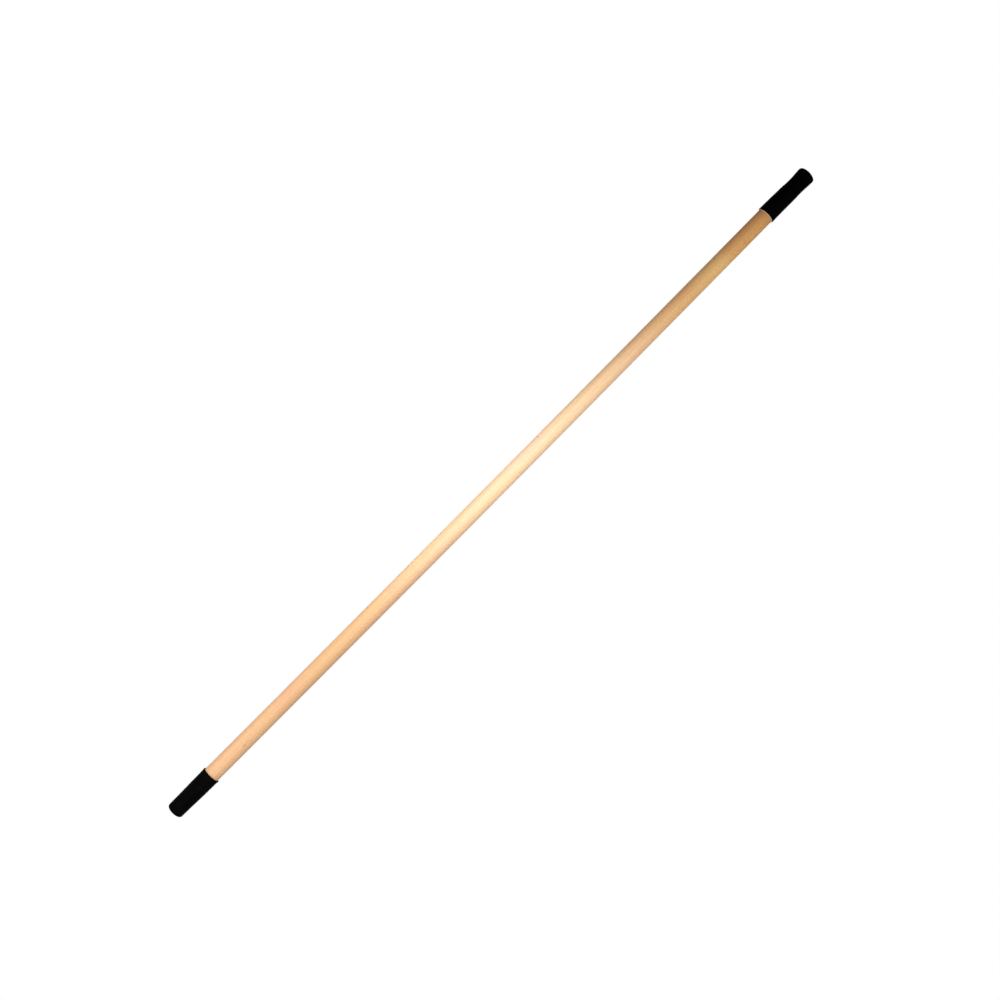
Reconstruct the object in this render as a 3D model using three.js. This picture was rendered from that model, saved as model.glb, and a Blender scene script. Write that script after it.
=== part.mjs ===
// A wooden devil stick: a slim, straight hardwood rod with a soft black vinyl cap pushed over each end.
// The rod narrows a little under each cap, and a turn of cloth tape on that seat packs the cap tight.
// One cap is driven right home. The other stops short, so its soft tip reaches past the rod's end.
// Millimetres. The stick's axis is X, Z is up, and the origin is on the axis, halfway between the tips.

import * as THREE from "three";

// Rod
const ROD_DIAMETER = 12;
const ROD_LENGTH = 620;
const SEAT_LENGTH = 36; // the narrowed stretch at each end
const SEAT_TAPER = 0.8; // how much slimmer the rod is across its very end
const ROD_CHAMFER = 0.8;

// Cloth tape, one turn round each seat
const TAPE_WIDTH = 25;
const TAPE_THICKNESS = 0.15;

// Caps
const CAP_WALL = 0.6;
const FIT_GAP = 0.02; // rod to tape, tape to cap, and rod to cap
const TAPE_EDGE_RAMP = 2; // length over which a cap settles from the tape onto bare wood
const LIP_LENGTH = 3; // length over which a rim swells out

const SHORT_CAP = {
  length: 36.5,
  overhang: 1.6, // from the rod's end to the tip
  lipRise: 0.25,
  tapeFromEnd: 8.9, // from the rod's end to the tape. Here its far edge stays inside the rim
  cornerRadius: 1.8,
};

const LONG_CAP = {
  length: 42.3,
  overhang: 13.7,
  lipRise: 0.1,
  tapeFromEnd: 4.3, // here the tape's far edge shows past the rim
  cornerRadius: 1.3,
  floor: 4, // solid vinyl at the tip
  neckDraw: 0.02, // how far the empty sleeve draws in just past the rod
  neckPastRod: 1.5, // from the rod's end to that neck
  tipFlare: 0.47, // how far the tip stands out from the sleeve on the rod's end
};

// Facets. Corners stand out by FACET_REACH, so the flats lie on the true round surface.
const SIDES = 32;
const FACET_REACH = 1 / Math.cos(Math.PI / SIDES);
const CURVE_STEPS = 4;

const TIP_TO_TIP = SHORT_CAP.overhang + ROD_LENGTH + LONG_CAP.overhang;
const SHORT_TIP_X = -TIP_TO_TIP / 2;
const LONG_TIP_X = TIP_TO_TIP / 2;

const beech = new THREE.MeshStandardMaterial({ color: 0xe3b887, roughness: 0.5, metalness: 0 });
const blackVinyl = new THREE.MeshStandardMaterial({ color: 0x0b0b0b, roughness: 0.7, metalness: 0 });
const clothTape = new THREE.MeshStandardMaterial({ color: 0xe9dcc4, roughness: 0.85, metalness: 0 });

// Every outline is a path in (radius, distance along the axis). It runs up the outside of its piece.
function turned(name, outline, placeX, direction, material) {
  const points = outline.getPoints(CURVE_STEPS).map(
    (point) => new THREE.Vector2(point.x * FACET_REACH, placeX + direction * point.y),
  );
  if (direction < 0) points.reverse();
  const geometry = new THREE.LatheGeometry(points, SIDES, Math.PI / SIDES);
  geometry.rotateZ(-Math.PI / 2);
  const mesh = new THREE.Mesh(geometry, material);
  mesh.name = name;
  return mesh;
}

// Radius of the wood at a distance in from the rod's end.
function seatRadius(fromEnd) {
  const share = THREE.MathUtils.clamp(fromEnd / SEAT_LENGTH, 0, 1);
  return (ROD_DIAMETER - SEAT_TAPER * (1 - share)) / 2;
}

// Where a cap's rim and its tape lie, as distances in from the rod's end.
function rimFromEnd(cap) {
  return cap.length - cap.overhang;
}

function tapeSpan(cap) {
  return { inner: cap.tapeFromEnd, outer: cap.tapeFromEnd + TAPE_WIDTH };
}

// Stops along the wood between two distances: its slope changes where the seat ends.
function alongSeat(from, to) {
  return from < SEAT_LENGTH && SEAT_LENGTH < to ? [from, SEAT_LENGTH, to] : [from, to];
}

function rod() {
  const outline = new THREE.Path();
  outline.moveTo(0, 0);
  outline.lineTo(seatRadius(0) - ROD_CHAMFER, 0);
  outline.lineTo(seatRadius(ROD_CHAMFER), ROD_CHAMFER);
  outline.lineTo(seatRadius(SEAT_LENGTH), SEAT_LENGTH);
  outline.lineTo(seatRadius(SEAT_LENGTH), ROD_LENGTH - SEAT_LENGTH);
  outline.lineTo(seatRadius(ROD_CHAMFER), ROD_LENGTH - ROD_CHAMFER);
  outline.lineTo(seatRadius(0) - ROD_CHAMFER, ROD_LENGTH);
  outline.lineTo(0, ROD_LENGTH);
  return turned("rod", outline, SHORT_TIP_X + SHORT_CAP.overhang, 1, beech);
}

// Band of tape lying on the seat.
function tape(name, cap, tipX, direction) {
  const span = tapeSpan(cap);
  const stops = alongSeat(span.inner, span.outer);
  const inside = (fromEnd) => seatRadius(fromEnd) + FIT_GAP;
  const outline = new THREE.Path();
  outline.moveTo(inside(span.inner), span.inner);
  for (const stop of stops) outline.lineTo(inside(stop) + TAPE_THICKNESS, stop);
  for (const stop of stops.reverse()) outline.lineTo(inside(stop), stop);
  return turned(name, outline, tipX + direction * cap.overhang, direction, clothTape);
}

// Inside of a cap where it grips: bare wood, then up onto the tape.
function gripRadius(cap, fromEnd) {
  const span = tapeSpan(cap);
  const rise = THREE.MathUtils.clamp((fromEnd - span.inner) / TAPE_EDGE_RAMP + 1, 0, 1);
  return seatRadius(fromEnd) + FIT_GAP + rise * (TAPE_THICKNESS + FIT_GAP);
}

// The sleeve of a cap over its seat: up the outside to the rim, and back down the inside to the rod's end.
function addSleeve(outline, cap) {
  const tapeEdge = tapeSpan(cap).inner;
  const rampStart = tapeEdge - TAPE_EDGE_RAMP;
  const rim = rimFromEnd(cap);
  const outside = (fromEnd) => gripRadius(cap, fromEnd) + CAP_WALL;
  const up = (fromEnd) => cap.overhang + fromEnd;
  const lipStart = rim - LIP_LENGTH;
  outline.lineTo(outside(rampStart), up(rampStart));
  for (const stop of alongSeat(tapeEdge, lipStart)) outline.lineTo(outside(stop), up(stop));
  outline.quadraticCurveTo(outside(rim), up(rim), outside(rim) + cap.lipRise, up(rim));
  for (const stop of alongSeat(tapeEdge, rim).reverse()) outline.lineTo(gripRadius(cap, stop), up(stop));
  outline.lineTo(gripRadius(cap, rampStart), up(rampStart));
  outline.lineTo(gripRadius(cap, 0), up(0));
}

// The tip's flat face and its rounded corner.
function startTip(outline, cap, tipRadius) {
  const corner = cap.cornerRadius;
  outline.moveTo(0, 0);
  outline.lineTo(tipRadius - corner, 0);
  outline.absarc(tipRadius - corner, corner, corner, -Math.PI / 2, 0);
}

function shortCap() {
  const cap = SHORT_CAP;
  const outline = new THREE.Path();
  startTip(outline, cap, gripRadius(cap, 0) + CAP_WALL);
  addSleeve(outline, cap);
  outline.lineTo(gripRadius(cap, 0), cap.overhang - FIT_GAP);
  outline.lineTo(0, cap.overhang - FIT_GAP);
  return turned("short_cap", outline, SHORT_TIP_X, 1, blackVinyl);
}

// The long cap's empty tip draws in to a neck just past the rod, then flares to a thick, blunt end.
function longCap() {
  const cap = LONG_CAP;
  const sleeveRadius = gripRadius(cap, 0) + CAP_WALL;
  const tipRadius = sleeveRadius + cap.tipFlare;
  const neckRadius = sleeveRadius - cap.neckDraw;
  const neckAt = cap.overhang - cap.neckPastRod;
  const halfway = (cap.cornerRadius + neckAt) / 2;
  const outline = new THREE.Path();
  startTip(outline, cap, tipRadius);
  outline.bezierCurveTo(tipRadius, halfway, neckRadius, halfway, neckRadius, neckAt);
  outline.lineTo(sleeveRadius, cap.overhang);
  addSleeve(outline, cap);
  outline.lineTo(neckRadius - CAP_WALL, neckAt);
  outline.lineTo(neckRadius - CAP_WALL, cap.floor);
  outline.lineTo(0, cap.floor);
  return turned("long_cap", outline, LONG_TIP_X, -1, blackVinyl);
}

const devilStick = new THREE.Group();
devilStick.name = "devil_stick";
devilStick.add(
  rod(),
  tape("short_cap_tape", SHORT_CAP, SHORT_TIP_X, 1),
  tape("long_cap_tape", LONG_CAP, LONG_TIP_X, -1),
  shortCap(),
  longCap(),
);

export default devilStick;
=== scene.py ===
import math

import bpy
from mathutils import Matrix, Vector


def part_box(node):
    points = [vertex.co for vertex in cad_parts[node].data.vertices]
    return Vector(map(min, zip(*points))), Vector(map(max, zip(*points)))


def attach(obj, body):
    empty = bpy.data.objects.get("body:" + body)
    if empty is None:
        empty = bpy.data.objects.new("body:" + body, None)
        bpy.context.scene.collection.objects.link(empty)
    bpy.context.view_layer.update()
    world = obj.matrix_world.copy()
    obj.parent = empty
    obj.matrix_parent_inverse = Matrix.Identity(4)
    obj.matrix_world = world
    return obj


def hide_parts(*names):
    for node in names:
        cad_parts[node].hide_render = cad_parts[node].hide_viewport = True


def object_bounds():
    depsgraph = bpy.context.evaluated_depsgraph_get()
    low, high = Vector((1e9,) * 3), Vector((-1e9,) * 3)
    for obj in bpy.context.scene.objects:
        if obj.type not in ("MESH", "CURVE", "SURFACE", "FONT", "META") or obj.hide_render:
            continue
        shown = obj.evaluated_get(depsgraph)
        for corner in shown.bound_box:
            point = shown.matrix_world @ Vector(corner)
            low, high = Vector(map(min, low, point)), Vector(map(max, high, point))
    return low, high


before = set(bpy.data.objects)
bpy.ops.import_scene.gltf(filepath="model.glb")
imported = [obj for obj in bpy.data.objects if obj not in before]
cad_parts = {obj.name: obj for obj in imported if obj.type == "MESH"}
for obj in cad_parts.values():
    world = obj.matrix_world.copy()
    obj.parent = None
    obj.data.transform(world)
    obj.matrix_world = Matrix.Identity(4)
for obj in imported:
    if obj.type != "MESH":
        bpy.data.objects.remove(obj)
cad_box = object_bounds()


# ---------------------------------------------------------------------------------------------
# Rod. A 12 mm beech dowel, moulded round, sanded and rubbed with a thin satin oil. Each end is
# shaved slightly slimmer as a seat for its cap. It is turned here from its outline, as on a
# lathe, with a few shallow dings from play, and a little bowed and crooked, as dowels are.

MM = 0.001

rod_low, rod_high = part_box("rod")
rod_radius = rod_high.z
seat_length = 36 * MM
seat_taper = 0.4 * MM  # radius lost between the full rod and its very end
rod_chamfer = 0.8 * MM
rod_inset = 0.01 * MM  # leaves room for the waviness
rod_bow = 0.6 * MM  # how far the middle stands out sideways
bow_half_span = 280 * MM
long_end_crook = (-0.5 * MM, 279 * MM, 312 * MM)  # sideways, from x, to x
short_end_crook = (0.12 * MM, -292 * MM, -316 * MM)
seam_weld = 0.001 * MM  # closes the turned surface on itself
ding_density_limit = 20000.0  # per square metre, before their spacing thins them


def new_node(tree, kind, inputs=None, **settings):
    """A node with its settings. Its inputs are values, or the sockets that feed them."""
    made = tree.nodes.new(kind)
    for name, value in settings.items():
        setattr(made, name, value)
    for name, value in (inputs or {}).items():
        if isinstance(value, bpy.types.NodeSocket):
            tree.links.new(value, made.inputs[name])
        else:
            made.inputs[name].default_value = value
    return made


def sums(tree, operation, *terms):
    """One Math node on sockets and numbers."""
    made = new_node(tree, "ShaderNodeMath", dict(enumerate(terms)), operation=operation)
    return made.outputs[0]


def group_sockets(tree, inputs, outputs):
    """Names a node group's sockets: inputs as (name, kind, default), outputs as (name, kind)."""
    for name, kind, value in inputs:
        made = tree.interface.new_socket(name, in_out="INPUT", socket_type="NodeSocket" + kind)
        if value is not None:
            made.default_value = value
    for name, kind in outputs:
        tree.interface.new_socket(name, in_out="OUTPUT", socket_type="NodeSocket" + kind)


# The lathe: a row of points (x, radius) is swept round the X axis, with a slight waviness of
# the radius and round dings pressed into the surface.
lathe = bpy.data.node_groups.new("Turned piece", "GeometryNodeTree")
group_sockets(
    lathe,
    [
        ("Outline", "Geometry", None),
        ("Sides", "Int", 96),
        ("Waviness", "Float", 0.002),
        ("Wave Length", "Float", 0.02),
        ("Ding Spacing", "Float", 0.02),
        ("Ding Size", "Float", 0.001),
        ("Ding Depth", "Float", 0.0),
        ("Seed", "Int", 1),
        ("Finish", "Material", None),
    ],
    [("Geometry", "Geometry")],
)
given = new_node(lathe, "NodeGroupInput").outputs
outline_size = new_node(lathe, "GeometryNodeAttributeDomainSize", {"Geometry": given["Outline"]})
rows = outline_size.outputs["Point Count"]
grid = new_node(
    lathe,
    "GeometryNodeMeshGrid",
    {
        "Size X": 1.0,
        "Size Y": 1.0,
        "Vertices X": rows,
        "Vertices Y": sums(lathe, "ADD", given["Sides"], 1.0),
    },
)
here = new_node(lathe, "GeometryNodeInputPosition").outputs[0]
place = new_node(lathe, "ShaderNodeSeparateXYZ", {0: here})
row_share = sums(lathe, "ADD", place.outputs["X"], 0.5)
row = sums(lathe, "ROUND", sums(lathe, "MULTIPLY", row_share, sums(lathe, "SUBTRACT", rows, 1.0)))
outline_point = new_node(
    lathe,
    "GeometryNodeSampleIndex",
    {"Geometry": given["Outline"], "Value": here, "Index": row},
    data_type="FLOAT_VECTOR",
    domain="POINT",
)
outline_xyz = new_node(lathe, "ShaderNodeSeparateXYZ", {0: outline_point.outputs[0]})
turn = sums(lathe, "MULTIPLY", place.outputs["Y"], math.tau)
around = new_node(
    lathe,
    "ShaderNodeCombineXYZ",
    {
        "X": outline_xyz.outputs["X"],
        "Y": sums(lathe, "MULTIPLY", outline_xyz.outputs["Z"], sums(lathe, "SINE", turn)),
        "Z": sums(lathe, "MULTIPLY", outline_xyz.outputs["Z"], sums(lathe, "COSINE", turn)),
    },
)
swept = new_node(
    lathe, "GeometryNodeSetPosition", {"Geometry": grid.outputs["Mesh"], "Position": around.outputs[0]}
)
mapped = new_node(
    lathe,
    "GeometryNodeStoreNamedAttribute",
    {"Geometry": swept.outputs[0], "Name": "UVMap", "Value": grid.outputs["UV Map"]},
    data_type="FLOAT2",
    domain="CORNER",
)
closed = new_node(
    lathe, "GeometryNodeMergeByDistance", {"Geometry": mapped.outputs[0], "Distance": seam_weld}
)
wave_noise = new_node(
    lathe,
    "ShaderNodeTexNoise",
    {"W": given["Seed"], "Scale": sums(lathe, "DIVIDE", 1.0, given["Wave Length"]), "Detail": 1.0},
    noise_dimensions="4D",
)
wave_share = sums(lathe, "SUBTRACT", wave_noise.outputs["Fac"], 0.5)
wave = sums(lathe, "MULTIPLY", wave_share, given["Waviness"])
wave_offset = new_node(
    lathe,
    "ShaderNodeCombineXYZ",
    {
        "Y": sums(lathe, "MULTIPLY", place.outputs["Y"], wave),
        "Z": sums(lathe, "MULTIPLY", place.outputs["Z"], wave),
    },
)
wavy = new_node(
    lathe, "GeometryNodeSetPosition", {"Geometry": closed.outputs[0], "Offset": wave_offset.outputs[0]}
)
strikes = new_node(
    lathe,
    "GeometryNodeDistributePointsOnFaces",
    {
        "Mesh": wavy.outputs[0],
        "Distance Min": given["Ding Spacing"],
        "Density Max": ding_density_limit,
        "Seed": given["Seed"],
    },
    distribute_method="POISSON",
)
nearest = new_node(
    lathe, "GeometryNodeProximity", {"Geometry": strikes.outputs["Points"]}, target_element="POINTS"
)
hollow = new_node(
    lathe,
    "ShaderNodeMapRange",
    {
        "Value": nearest.outputs["Distance"],
        "From Min": 0.0,
        "From Max": given["Ding Size"],
        "To Min": given["Ding Depth"],
        "To Max": 0.0,
    },
    interpolation_type="SMOOTHSTEP",
)
inward = new_node(
    lathe,
    "ShaderNodeVectorMath",
    {
        0: new_node(lathe, "GeometryNodeInputNormal").outputs[0],
        "Scale": sums(lathe, "MULTIPLY", hollow.outputs["Result"], -1.0),
    },
    operation="SCALE",
)
dinged = new_node(
    lathe, "GeometryNodeSetPosition", {"Geometry": wavy.outputs[0], "Offset": inward.outputs[0]}
)
smooth = new_node(lathe, "GeometryNodeSetShadeSmooth", {"Geometry": dinged.outputs[0]})
real = new_node(lathe, "GeometryNodeRealizeInstances", {"Geometry": smooth.outputs[0]})
coated = new_node(
    lathe, "GeometryNodeSetMaterial", {"Geometry": real.outputs[0], "Material": given["Finish"]}
)
new_node(lathe, "NodeGroupOutput", {"Geometry": coated.outputs[0]})


def turned_piece(name, outline, finish, **sizes):
    """Turns an outline of (x, radius) points into a plain closed mesh that follows the bow."""
    line = bpy.data.meshes.new(name + "_outline")
    edges = [(number, number + 1) for number in range(len(outline) - 1)]
    line.from_pydata([(x, 0, radius) for x, radius in outline], edges, [])
    blank = bpy.data.objects.new(name + "_outline", line)
    bpy.context.scene.collection.objects.link(blank)
    turning = blank.modifiers.new("Turn", "NODES")
    turning.node_group = lathe
    titles = {item.name: item.identifier for item in lathe.interface.items_tree}
    turning[titles["Finish"]] = finish
    for size, value in sizes.items():
        turning[titles[size.replace("_", " ").title()]] = value
    evaluated = blank.evaluated_get(bpy.context.evaluated_depsgraph_get())
    mesh = bpy.data.meshes.new_from_object(evaluated)
    mesh.name = name
    bpy.data.objects.remove(blank)
    bpy.data.meshes.remove(line)
    return piece_from(name, mesh)


def ease(value, low, high):
    """A smooth step from 0 at low to 1 at high."""
    share = min(max((value - low) / (high - low), 0), 1)
    return share * share * (3 - 2 * share)


def piece_from(name, mesh):
    """Bends a mesh sideways as the rod is bent, and puts it in the scene."""
    for vertex in mesh.vertices:
        x = vertex.co.x
        vertex.co.y -= rod_bow * (1 - (x / bow_half_span) ** 2)
        for crook, from_x, to_x in (long_end_crook, short_end_crook):
            vertex.co.y += crook * ease(x, from_x, to_x)
    piece = bpy.data.objects.new(name, mesh)
    bpy.context.scene.collection.objects.link(piece)
    return piece


def stretch(start, end, steps):
    """Evenly spaced values from start up to, but not including, end."""
    return [start + (end - start) * step / steps for step in range(steps)]


def seat_radius(from_end):
    """Radius of the wood at a distance in from the rod's end."""
    share = min(max(from_end / seat_length, 0), 1)
    return rod_radius - seat_taper * (1 - share)


rod_length = rod_high.x - rod_low.x
hidden_length = 26 * MM  # stays under the caps, so it is cut coarser
hidden_cuts = 12
open_cuts = 800
rod_cuts = (
    [0.0, rod_chamfer]
    + stretch(2 * rod_chamfer, hidden_length, hidden_cuts)
    + stretch(hidden_length, rod_length - hidden_length, open_cuts)
    + stretch(rod_length - hidden_length, rod_length - 2 * rod_chamfer, hidden_cuts)
    + [rod_length - rod_chamfer, rod_length]
)
rod_outline = [(rod_low.x, 0.0)]
for along in rod_cuts:
    from_end = min(along, rod_length - along)
    chamfered = max(rod_chamfer - from_end, 0)
    rod_outline.append((rod_low.x + along, seat_radius(from_end) - chamfered - rod_inset))
rod_outline.append((rod_high.x, 0.0))


def blend(tree, share, first, second, how="MIX"):
    """A colour Mix node: the share of the second colour, then the two colours."""
    sockets = {0: share, 6: first, 7: second}
    made = new_node(tree, "ShaderNodeMix", sockets, data_type="RGBA", blend_type=how)
    return made.outputs[2]


def laid_over(tree, mask, strength, ground, colour):
    """A colour laid over the ground where a mask shows, at the given strength."""
    return blend(tree, sums(tree, "MULTIPLY", mask, strength), ground, colour)


def ramp(tree, value, low, high, bottom=0.0, top=1.0):
    """A smooth step of a value, from bottom at low to top at high."""
    sockets = {"Value": value, "From Min": low, "From Max": high, "To Min": bottom, "To Max": top}
    made = new_node(tree, "ShaderNodeMapRange", sockets, interpolation_type="SMOOTHSTEP")
    return made.outputs["Result"]


def ramp_straight(tree, value, low, high):
    """A value's share of the way from low to high, kept within 0 and 1."""
    sockets = {"Value": value, "From Min": low, "From Max": high}
    return new_node(tree, "ShaderNodeMapRange", sockets).outputs["Result"]


def millimetres(tree, stretch_by=(1, 1, 1), shift=(0, 0, 0), turned=(0, 0, 0)):
    """Object coordinates in millimetres, stretched, turned and shifted."""
    sockets = {
        "Vector": new_node(tree, "ShaderNodeTexCoord").outputs["Object"],
        "Location": shift,
        "Rotation": turned,
        "Scale": [share / MM for share in stretch_by],
    }
    return new_node(tree, "ShaderNodeMapping", sockets).outputs[0]


def cloud(tree, vector, scale=1.0, detail=2.0, roughness=0.5):
    """Soft noise from 0 to 1."""
    sockets = {"Vector": vector, "Scale": scale, "Detail": detail, "Roughness": roughness}
    return new_node(tree, "ShaderNodeTexNoise", sockets).outputs["Fac"]


# Handling marks, for every finish on the stick: soft rubbed patches and small specks. A larger
# speck share lowers the level of noise at which a speck begins.
speck_level = 0.82
speck_level_drop = 0.2
speck_softness = 0.06
handling = bpy.data.node_groups.new("Handling marks", "ShaderNodeTree")
group_sockets(
    handling,
    [("Patch Size", "Float", 20.0), ("Speck Size", "Float", 0.6), ("Speck Share", "Float", 0.3)],
    [("Rubbed", "Float"), ("Specks", "Float")],
)
asked = new_node(handling, "NodeGroupInput").outputs
touch = millimetres(handling)
patches = cloud(handling, touch, sums(handling, "DIVIDE", 1.0, asked["Patch Size"]), 3.0, 0.6)
dots = cloud(handling, touch, sums(handling, "DIVIDE", 1.0, asked["Speck Size"]), 1.0, 0.5)
speck_drop = sums(handling, "MULTIPLY", asked["Speck Share"], speck_level_drop)
speck_edge = sums(handling, "SUBTRACT", speck_level, speck_drop)
new_node(
    handling,
    "NodeGroupOutput",
    {
        "Rubbed": ramp(handling, patches, 0.42, 0.68),
        "Specks": ramp(handling, dots, speck_edge, sums(handling, "ADD", speck_edge, speck_softness)),
    },
)


def marked(tree, patch_size, speck_size, speck_share):
    """The handling marks with a finish's own sizes, in millimetres: rubbed patches, specks."""
    sockets = {"Patch Size": patch_size, "Speck Size": speck_size, "Speck Share": speck_share}
    made = tree.nodes.new("ShaderNodeGroup")
    made.node_tree = handling
    for name, value in sockets.items():
        made.inputs[name].default_value = value
    return made.outputs["Rubbed"], made.outputs["Specks"]


def new_finish(name, **even):
    """An empty material with its shader. Even values are set on the shader itself."""
    made = bpy.data.materials.new(name)
    made.use_nodes = True
    tree = made.node_tree
    tree.nodes.clear()
    sockets = {title.replace("_", " "): value for title, value in even.items()}
    shader = new_node(tree, "ShaderNodeBsdfPrincipled", sockets)
    new_node(tree, "ShaderNodeOutputMaterial", {"Surface": shader.outputs["BSDF"]})
    return made, tree, shader


def bump(tree, height, strength, depth):
    """A normal bent by a height pattern of the given depth."""
    sockets = {"Strength": strength, "Distance": depth, "Height": height}
    return new_node(tree, "ShaderNodeBump", sockets).outputs[0]


# Oiled beech. Growth rings are cylinders round a pith that lies outside the dowel and leans a
# little, so they run out of the surface as long tapering stripes. Fibres, pores and ray flecks
# follow the grain. Along the stick the colour also carries painted light: a paler, less red
# painted highlight over the middle, and painted shade, darker and more orange, towards the long
# cap. Sizes in a finish are in millimetres.
beech, wood, wood_shader = new_finish(
    "Oiled beech", Specular_IOR_Level=0.27, Coat_Weight=0.06, Coat_Roughness=0.38
)

grain_lean = (0.0, math.radians(0.8), math.radians(-0.6))
pith_shift = (0.0, 31.0, 19.0)
ring_width = 2.3
ring_wander = 3.0
ray_turn_rate = 240.0  # ray flecks per unit of angle round the pith
ray_along_rate = 0.42
ray_depth_rate = 0.8
grain = new_node(
    wood, "ShaderNodeSeparateXYZ", {0: millimetres(wood, shift=pith_shift, turned=grain_lean)}
).outputs
pith_distance = sums(
    wood,
    "SQRT",
    sums(wood, "ADD", sums(wood, "POWER", grain["Y"], 2.0), sums(wood, "POWER", grain["Z"], 2.0)),
)
wander = cloud(wood, millimetres(wood, (0.006, 0.05, 0.05)))
ring_depth = sums(wood, "ADD", pith_distance, sums(wood, "MULTIPLY", wander, ring_wander))
ring = sums(wood, "FRACT", sums(wood, "DIVIDE", ring_depth, ring_width))
late_wood = sums(wood, "MULTIPLY", ramp(wood, ring, 0.35, 0.9), ramp(wood, ring, 1.0, 0.93))

fibres = cloud(wood, millimetres(wood, (0.05, 2.4, 2.4)), detail=5.0, roughness=0.65)
pores = ramp(wood, cloud(wood, millimetres(wood, (0.16, 5.0, 5.0))), 0.6, 0.7)

pith_angle = sums(wood, "ARCTAN2", grain["Z"], grain["Y"])
ray_angle = sums(wood, "MULTIPLY", pith_angle, ray_turn_rate)
ray_spot = new_node(
    wood,
    "ShaderNodeCombineXYZ",
    {
        "X": sums(wood, "MULTIPLY", grain["X"], ray_along_rate),
        "Y": sums(wood, "MULTIPLY", pith_distance, ray_depth_rate),
        "Z": ray_angle,
    },
).outputs[0]
rays = ramp(wood, cloud(wood, ray_spot, detail=1.0), 0.64, 0.72)

pale_beech = (0.88, 0.52, 0.33, 1)
rose_beech = (0.89, 0.48, 0.32, 1)
honey_beech = (0.87, 0.52, 0.28, 1)
tan_beech = (0.75, 0.40, 0.22, 1)
# Painted light along the stick: what is left of red, green and blue at places along it. Over the
# middle it is a paler, less red painted highlight. Towards the long cap it is darker and more
# orange painted shade.
painted_light_tones = (
    (-270.0, (0.92, 0.95, 0.83)),
    (-205.0, (0.90, 0.90, 0.78)),
    (-130.0, (0.89, 0.91, 0.78)),
    (-60.0, (0.80, 0.91, 0.82)),
    (0.0, (0.78, 0.905, 0.87)),
    (70.0, (0.77, 0.895, 0.93)),
    (125.0, (0.80, 0.885, 0.86)),
    (165.0, (0.82, 0.84, 0.66)),
    (195.0, (0.86, 0.825, 0.60)),
    (212.0, (0.91, 0.93, 0.66)),
    (228.0, (0.94, 1.00, 0.66)),
    (236.0, (0.93, 0.86, 0.53)),
    (270.0, (0.93, 0.815, 0.45)),
)
ray_brown = (0.50, 0.25, 0.11, 1)
pore_brown = (0.45, 0.23, 0.10, 1)
rim_dark_grey = (0.30, 0.19, 0.11, 1)
pale_strength = 0.35
late_wood_strength = 0.28
fibre_strength = 0.3
pore_strength = 0.22
ray_strength = 0.26
grime_strength = 0.2

drift = cloud(wood, millimetres(wood, (0.016, 0.06, 0.06)))
ground = blend(wood, ramp(wood, drift, 0.38, 0.62), rose_beech, honey_beech)
ground = blend(wood, pale_strength, ground, pale_beech)
ground = laid_over(wood, late_wood, late_wood_strength, ground, tan_beech)
ground = blend(wood, ramp(wood, fibres, 0.35, 0.75, 0.0, fibre_strength), ground, tan_beech)
ground = laid_over(wood, pores, pore_strength, ground, pore_brown)
ground = laid_over(wood, rays, ray_strength, ground, ray_brown)

along_stick = new_node(wood, "ShaderNodeSeparateXYZ", {0: millimetres(wood)}).outputs["X"]
painted_light_low, painted_light_high = -320.0, 320.0
painted_light_share = ramp_straight(wood, along_stick, painted_light_low, painted_light_high)
painted_light_ramp = new_node(wood, "ShaderNodeValToRGB", {"Fac": painted_light_share})
stops = painted_light_ramp.color_ramp.elements
for number, (stop_x, shade) in enumerate(painted_light_tones):
    stop_at = (stop_x - painted_light_low) / (painted_light_high - painted_light_low)
    stop = stops[number] if number < 2 else stops.new(1.0)
    stop.position = stop_at
    stop.color = (*shade, 1)
# The painted light is multiplied into the wood's colour: a painted highlight over the middle, painted
# shade towards the long cap.
ground = blend(wood, 1.0, ground, painted_light_ramp.outputs["Color"], "MULTIPLY")

# One small mineral streak near the short cap, made of two dabs, and a faint one beside it. Each
# is a soft ball that the surface cuts through: its middle, its half length and width, strength.
streaks = (
    ((-249.4, -1.9, 5.7), (2.4, 0.45), 1.0),
    ((-246.5, -1.4, 5.85), (2.2, 0.4), 0.6),
    ((-229.8, -1.0, 5.9), (2.0, 0.45), 0.35),
)
for streak_at, (streak_length, streak_width), streak_strength in streaks:
    streak_size = (1 / streak_length, 1 / streak_width, 1 / streak_width)
    streak_shift = [-middle * size for middle, size in zip(streak_at, streak_size)]
    ball = new_node(
        wood,
        "ShaderNodeTexGradient",
        {"Vector": millimetres(wood, streak_size, streak_shift)},
        gradient_type="SPHERICAL",
    ).outputs["Fac"]
    ground = blend(wood, ramp(wood, ball, 0.05, 0.6, 0.0, streak_strength), ground, ray_brown)

# Wear: grime in the specks. Beside each cap's rim the wood is also darker, fading out away from the
# rim.
wood_rubbed, wood_specks = marked(wood, patch_size=45.0, speck_size=0.9, speck_share=0.2)
ground = laid_over(wood, wood_specks, grime_strength, ground, pore_brown)
rim_dark_reach = 9.0
for rim_x, away in ((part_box("short_cap")[1].x / MM, 1), (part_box("long_cap")[0].x / MM, -1)):
    rim_darkening = ramp(wood, along_stick, rim_x, rim_x + away * rim_dark_reach, 1.0, 0.0)
    rim_darkening = sums(wood, "MULTIPLY", rim_darkening, ramp(wood, fibres, 0.3, 0.7, 0.04, 0.2))
    ground = blend(wood, rim_darkening, ground, rim_dark_grey)
wood.links.new(ground, wood_shader.inputs["Base Color"])

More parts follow.
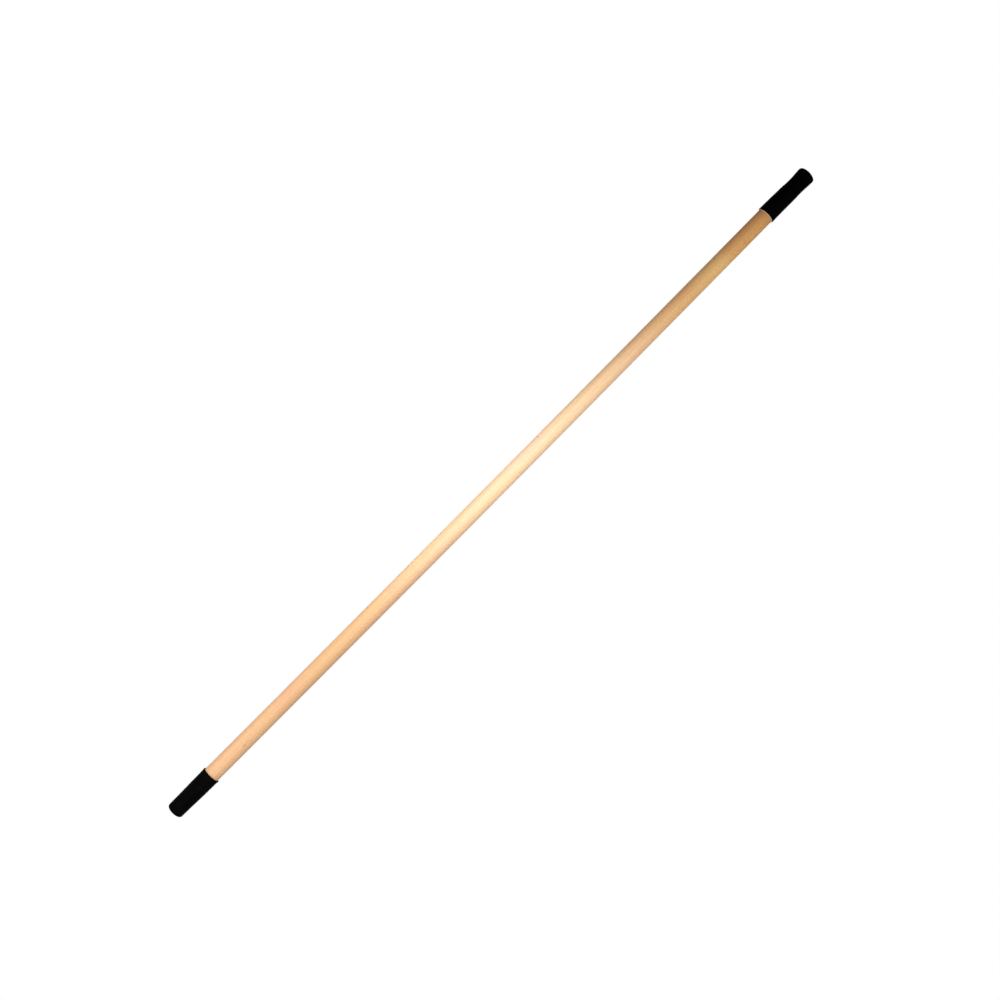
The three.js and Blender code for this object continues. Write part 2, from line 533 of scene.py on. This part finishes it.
# The oil leaves an even satin. The open pores stay dull, and hands have polished the patches.
satin_smooth = 0.5
satin_rough = 0.6
pore_dullness = 0.15
hand_polish = 0.06
grain_relief = 0.03 * MM
satin = ramp(wood, fibres, 0.3, 0.8, satin_smooth, satin_rough)
satin = sums(wood, "ADD", satin, sums(wood, "MULTIPLY", pores, pore_dullness))
satin = sums(wood, "SUBTRACT", satin, sums(wood, "MULTIPLY", wood_rubbed, hand_polish))
wood.links.new(satin, wood_shader.inputs["Roughness"])
relief = sums(wood, "SUBTRACT", sums(wood, "MULTIPLY", fibres, 0.5), pores)
relief = sums(wood, "SUBTRACT", relief, sums(wood, "MULTIPLY", late_wood, 0.3))
wood.links.new(bump(wood, relief, 0.35, grain_relief), wood_shader.inputs["Normal"])

rod = turned_piece(
    "beech_rod",
    rod_outline,
    beech,
    sides=96,
    waviness=0.003,
    wave_length=22 * MM,
    ding_spacing=28 * MM,
    ding_size=1.6 * MM,
    ding_depth=0.05 * MM,
    seed=7,
)
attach(rod, "root")
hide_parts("rod")


# ---------------------------------------------------------------------------------------------
# Tape. One turn of pale woven cloth tape is wound on each seat to pack the cap tight. It is cut
# by hand, so its ends lap over each other and its edge wanders. Only the long cap leaves a
# narrow margin of it showing.

tape_thickness = 0.15 * MM
tape_gap = 0.02 * MM
tape_lap = math.radians(35)
tape_lap_ramp = math.radians(5)
tape_wander = 0.12 * MM
tape_turn_steps = 220
thread_pitch = 0.32  # in millimetres
thread_relief_depth = 0.04 * MM

cloth, weave, weave_shader = new_finish(
    "Woven cloth tape", Roughness=0.85, Specular_IOR_Level=0.25, Sheen_Weight=0.3
)
thread_spot = new_node(weave, "ShaderNodeUVMap", uv_map="UVMap").outputs["UV"]
thread = new_node(weave, "ShaderNodeSeparateXYZ", {0: thread_spot}).outputs
across_threads = sums(weave, "SINE", sums(weave, "MULTIPLY", thread["X"], math.tau / thread_pitch))
along_threads = sums(weave, "SINE", sums(weave, "MULTIPLY", thread["Y"], math.tau / thread_pitch))
thread_height = sums(weave, "MULTIPLY", across_threads, along_threads)
fuzz = cloud(weave, millimetres(weave), 9.0, 3.0, 0.6)
tape_rubbed, tape_specks = marked(weave, patch_size=3.0, speck_size=0.5, speck_share=0.3)
tape_cream = (0.74, 0.62, 0.46, 1)
tape_hollow_shade_and_specks = (0.50, 0.38, 0.26, 1)
tape_grime = (0.52, 0.41, 0.29, 1)
# The weave's hollows are painted darker: painted shade. The same dark brown also colours the dirt
# specks.
cream = blend(weave, ramp(weave, thread_height, -0.2, -0.9, 0.0, 0.8), tape_cream, tape_hollow_shade_and_specks)
cream = laid_over(weave, tape_rubbed, 0.4, cream, tape_grime)
cream = laid_over(weave, tape_specks, 0.5, cream, tape_hollow_shade_and_specks)
weave.links.new(cream, weave_shader.inputs["Base Color"])
thread_relief = sums(weave, "ADD", thread_height, fuzz)
weave.links.new(bump(weave, thread_relief, 0.6, thread_relief_depth), weave_shader.inputs["Normal"])


def wound_tape(name, node, rod_end_x, inward_sign):
    """A strip wound once round the seat, its second end lapping over its first."""
    low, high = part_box(node)
    vertices = []
    thread_places = []
    for step in range(tape_turn_steps + 1):
        angle = (math.tau + tape_lap) * step / tape_turn_steps
        lapped = min(max((angle - math.tau + tape_lap_ramp) / tape_lap_ramp, 0), 1)
        for edge_x, side in ((low.x, 1), (high.x, -1)):
            wandered = tape_wander * (1 + math.sin(3 * angle + side) * math.sin(1.3 * angle))
            x = edge_x + side * wandered / 2
            wood_here = seat_radius((x - rod_end_x) * inward_sign)
            under = wood_here + tape_gap + lapped * tape_thickness
            for radius in (under, under + tape_thickness):
                vertices.append((x, radius * math.sin(angle), radius * math.cos(angle)))
                thread_places.append((x / MM, angle * rod_radius / MM))
    faces = [(0, 1, 3, 2)]
    for step in range(tape_turn_steps):
        start, end = 4 * step, 4 * (step + 1)
        for first, second in ((0, 1), (1, 3), (3, 2), (2, 0)):
            faces.append((start + first, end + first, end + second, start + second))
    last = 4 * tape_turn_steps
    faces.append((last, last + 2, last + 3, last + 1))
    mesh = bpy.data.meshes.new(name)
    mesh.from_pydata(vertices, [], faces)
    threads = mesh.uv_layers.new(name="UVMap")
    for loop in mesh.loops:
        threads.data[loop.index].uv = thread_places[loop.vertex_index]
    mesh.materials.append(cloth)
    piece = piece_from(name, mesh)
    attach(piece, "root")
    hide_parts(node)


wound_tape("short_cap_tape_wrap", "short_cap_tape", rod_low.x, 1)
wound_tape("long_cap_tape_wrap", "long_cap_tape", rod_high.x, -1)


# ---------------------------------------------------------------------------------------------
# Caps. Two closed sleeves of soft black vinyl, dipped on a former, so the closed end is thick
# and the open rim swells to a bead. They are stretched on wet and grip the tape as they dry.
# The short one is pushed home, and the long one keeps an empty tip that necks in and flares.

cap_grip_gap = 0.02 * MM
tape_edge_ramp = 2 * MM  # the sleeve climbs onto the tape over this length
tape_settling = 0.5 * MM  # and lies snug this far past the tape's edge
neck_ramp = 3 * MM
flare_lateness = 1.4  # above 1, the empty tip flares late, close to its end
lip_length = 3 * MM
rim_round = 0.3 * MM
tip_inset = 0.01 * MM
tip_dome = 0.35 * MM
tip_pole = 0.4 * MM  # radius of the first ring round the tip's middle
ripple_depth = 0.02 * MM  # faint rings that run out from the rim
ripple_pitch = 2.6 * MM
ripple_reach = 7 * MM
slant_reach = 12 * MM
face_cuts = 10
corner_cuts = 14
sleeve_cuts = 120
rim_cuts = 6
inside_cuts = 24
skin_relief = 0.05 * MM
rub_polish = 0.08

vinyl, skin, skin_shader = new_finish("Black vinyl", Specular_IOR_Level=0.03)
skin_rubbed, skin_specks = marked(skin, patch_size=7.0, speck_size=0.35, speck_share=0.25)
vinyl_black = (0.0004, 0.0004, 0.0005, 1)
vinyl_worn = (0.0014, 0.0014, 0.0015, 1)
vinyl_dust = (0.012, 0.011, 0.010, 1)
black = blend(skin, skin_rubbed, vinyl_black, vinyl_worn)
black = laid_over(skin, skin_specks, 0.2, black, vinyl_dust)
skin.links.new(black, skin_shader.inputs["Base Color"])
orange_peel = cloud(skin, millimetres(skin), 1.6, 3.0, 0.55)
dullness = ramp(skin, orange_peel, 0.3, 0.7, 0.56, 0.68)
dullness = sums(skin, "SUBTRACT", dullness, sums(skin, "MULTIPLY", skin_rubbed, rub_polish))
skin.links.new(dullness, skin_shader.inputs["Roughness"])
skin.links.new(bump(skin, orange_peel, 0.4, skin_relief), skin_shader.inputs["Normal"])


def moulded_cap(node, tape_node, rod_end_x, wall, corner, lip_rise, rim_back, rim_slant,
                tape_bridge, floor, neck_draw, neck_past_rod, tip_flare, seed):
    """A dipped cap, turned from its outline. Distances run from the tip to the rim.

    rim_back is how far the rim stops short, rim_slant how far it is cut askew, and tape_bridge the
    length over which the outside hides the step of the tape.
    """
    low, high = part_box(node)
    tape_low, tape_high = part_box(tape_node)
    faces_left = rod_end_x < 0
    tip_x = low.x if faces_left else high.x
    length = high.x - low.x - rim_back
    overhang = abs(tip_x - rod_end_x)
    tape_edge = abs((tape_low.x if faces_left else tape_high.x) - tip_x)
    neck_at = overhang - neck_past_rod

    def grip(up, settled_at=tape_edge + tape_settling):
        on_tape = ease(up, tape_edge - tape_edge_ramp, settled_at)
        return seat_radius(up - overhang) + cap_grip_gap + on_tape * (tape_thickness + cap_grip_gap)

    def outside(up):
        lip_share = max(up - length + lip_length, 0) / lip_length
        ripple_share = math.exp((up - length) / ripple_reach) * (1 - lip_share)
        ripple = ripple_depth * math.sin(math.tau * up / ripple_pitch) * ripple_share
        neck = neck_draw * ease(up, overhang + neck_ramp, neck_at)
        flare = (tip_flare + neck_draw) * ease(up, neck_at, corner) ** flare_lateness
        grip_here = grip(max(up, overhang), tape_edge + tape_bridge)
        return grip_here + wall + lip_rise * lip_share ** 2 + ripple - neck + flare

    tip_radius = outside(corner)
    outline = [(0.0, 0.0)]
    for radius in stretch(tip_pole, tip_radius - corner, face_cuts):
        outline.append((tip_dome * (radius / tip_radius) ** 2, radius))
    dome_edge = tip_dome * ((tip_radius - corner) / tip_radius) ** 2
    for turned_by in stretch(0, math.pi / 2, corner_cuts):
        up = dome_edge + (corner - dome_edge) * (1 - math.cos(turned_by))
        outline.append((up, tip_radius - corner + corner * math.sin(turned_by)))
    for up in stretch(corner, length - rim_round, sleeve_cuts):
        outline.append((up, outside(up)))
    lip_radius = outside(length)
    for turned_by in stretch(0, math.pi / 2, rim_cuts):
        up = length - rim_round * (1 - math.sin(turned_by))
        outline.append((up, lip_radius - rim_round * (1 - math.cos(turned_by))))
    outline.append((length, lip_radius - rim_round))
    outline.append((length, grip(length) + rim_round / 3))
    for up in stretch(length - rim_round / 3, overhang, inside_cuts):
        outline.append((up, grip(up)))
    outline.append((overhang, grip(overhang)))
    outline.append((floor, grip(overhang) - (neck_draw if floor < neck_at else 0)))
    outline.append((floor, 0.0))
    if faces_left:
        placed = [(tip_x + tip_inset + up, radius) for up, radius in outline]
    else:
        placed = [(tip_x - tip_inset - up, radius) for up, radius in reversed(outline)]
    piece = turned_piece(
        node.replace("_cap", "_vinyl_cap"),
        placed,
        vinyl,
        sides=160,
        waviness=0.006,
        wave_length=7 * MM,
        ding_spacing=5 * MM,
        ding_size=0.9 * MM,
        ding_depth=0.02 * MM,
        seed=seed,
    )
    for vertex in piece.data.vertices:
        slant = rim_slant * ease(abs(vertex.co.x - tip_x), length - slant_reach, length)
        vertex.co.x += (slant if faces_left else -slant) * vertex.co.z / rod_radius
    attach(piece, "root")
    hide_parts(node)


moulded_cap(
    "short_cap",
    "short_cap_tape",
    rod_low.x,
    wall=0.52 * MM,
    corner=1.8 * MM,
    lip_rise=0.26 * MM,
    rim_back=0.3 * MM,
    rim_slant=0.65 * MM,
    tape_bridge=14 * MM,
    floor=1.58 * MM,
    neck_draw=0,
    neck_past_rod=0.5 * MM,
    tip_flare=0,
    seed=11,
)
moulded_cap(
    "long_cap",
    "long_cap_tape",
    rod_high.x,
    wall=0.6 * MM,
    corner=1.3 * MM,
    lip_rise=0.04 * MM,
    rim_back=0,
    rim_slant=0.5 * MM,
    tape_bridge=0.5 * MM,
    floor=4 * MM,
    neck_draw=0.02 * MM,
    neck_past_rod=1.5 * MM,
    tip_flare=0.47 * MM,
    seed=12,
)


# ---------------------------------------------------------------------------------------------
# Studio. The stick lies on pale backing paper under three softboxes: a wide one over the short
# cap's end, a brighter one over the middle, and a weak one on the other side of the stick towards
# the long cap, whose end is the dimmer one. A low card lifts the shaded side by the short cap.

scene = bpy.context.scene
scene.view_settings.view_transform = "Standard"

floor_half = 3.0
paper_grey = (0.4, 0.4, 0.4, 1)  # what the paper bounces back onto the stick
painted_shadow_reach = 3.8 * MM
painted_shadow_level = 0.55
floor_corners = [(-floor_half, -floor_half), (floor_half, -floor_half)]
floor_corners += [(floor_half, floor_half), (-floor_half, floor_half)]
floor_mesh = bpy.data.meshes.new("floor")
floor_mesh.from_pydata([(x, y, cad_box[0].z) for x, y in floor_corners], [], [(0, 1, 2, 3)])
floor = bpy.data.objects.new("floor", floor_mesh)
scene.collection.objects.link(floor)
# To the camera the paper is an even white glow with a painted contact shadow: the glow is dimmed where
# ambient occlusion finds the stick close by. All other rays see plain grey paper.
paper = bpy.data.materials.new("Glowing backing paper")
paper.use_nodes = True
paper_tree = paper.node_tree
paper_tree.nodes.clear()
bounce = new_node(paper_tree, "ShaderNodeBsdfDiffuse", {"Color": paper_grey}).outputs[0]
painted_shadow_mask = new_node(paper_tree, "ShaderNodeAmbientOcclusion", {"Distance": painted_shadow_reach}, samples=8)
shadowed_glow_level = ramp(paper_tree, painted_shadow_mask.outputs["AO"], 0.2, 1.0, painted_shadow_level, 1.0)
shadowed_glow = new_node(paper_tree, "ShaderNodeEmission", {"Strength": shadowed_glow_level}).outputs[0]
seen = new_node(paper_tree, "ShaderNodeLightPath").outputs["Is Camera Ray"]
shown = new_node(paper_tree, "ShaderNodeMixShader", {0: seen, 1: bounce, 2: shadowed_glow}).outputs[0]
new_node(paper_tree, "ShaderNodeOutputMaterial", {"Surface": shown})
floor_mesh.materials.append(paper)

room_light = 0.11
room_white = 1.0
world = bpy.data.worlds.new("Pale room")
scene.world = world
world.use_nodes = True
room = world.node_tree
room.nodes.clear()
room_seen = new_node(room, "ShaderNodeLightPath").outputs["Is Camera Ray"]
room_glow = ramp(room, room_seen, 0.0, 1.0, room_light, room_white)
room_air = new_node(room, "ShaderNodeBackground", {"Color": (1, 1, 1, 1), "Strength": room_glow})
new_node(room, "ShaderNodeOutputWorld", {"Surface": room_air.outputs[0]})


def softbox(name, place, size, power, turned=0):
    """A rectangular softbox that faces straight down, or is turned up towards +Y."""
    lamp = bpy.data.lights.new(name, "AREA")
    lamp.shape = "RECTANGLE"
    lamp.size, lamp.size_y = size
    lamp.energy = power
    made = bpy.data.objects.new(name, lamp)
    made.location = place
    made.rotation_euler.x = turned
    made.visible_camera = False
    scene.collection.objects.link(made)


upright = math.radians(90)
softbox("short_cap_softbox", place=(-0.344, 0.198, 0.15), size=(0.383, 0.629), power=1.11)
softbox("middle_softbox", place=(-0.003, 0.156, 0.15), size=(0.156, 0.435), power=0.875)
softbox("long_cap_softbox", place=(0.142, -0.156, 0.15), size=(0.284, 0.235), power=0.475)
softbox("low_fill_card", place=(-0.27, -0.35, 0.09), size=(0.36, 0.15), power=0.22, turned=upright)

# The camera stands almost straight above the stick's middle, which runs up to the right.
camera_data = bpy.data.cameras.new("camera")
camera_data.sensor_width = 36
camera_data.lens = 40.11
camera = bpy.data.objects.new("camera", camera_data)
scene.collection.objects.link(camera)
scene.camera = camera
camera_height = 0.787
camera_tilt = math.radians(2.0)
stick_slope = math.radians(45.3)  # how steeply the stick rises across the view
camera_aim = Vector((-0.00325, -0.00817, 0))
camera_place = camera_aim + Vector((-camera_height * math.tan(camera_tilt), 0, camera_height))
forward = (camera_aim - camera_place).normalized()
view_up = Vector((math.sin(stick_slope), math.cos(stick_slope), 0))
view_right = forward.cross(view_up).normalized()
view_up = view_right.cross(forward)
camera_turn = Matrix((view_right, view_up, -forward)).transposed().to_4x4()
camera.matrix_world = Matrix.Translation(camera_place) @ camera_turn
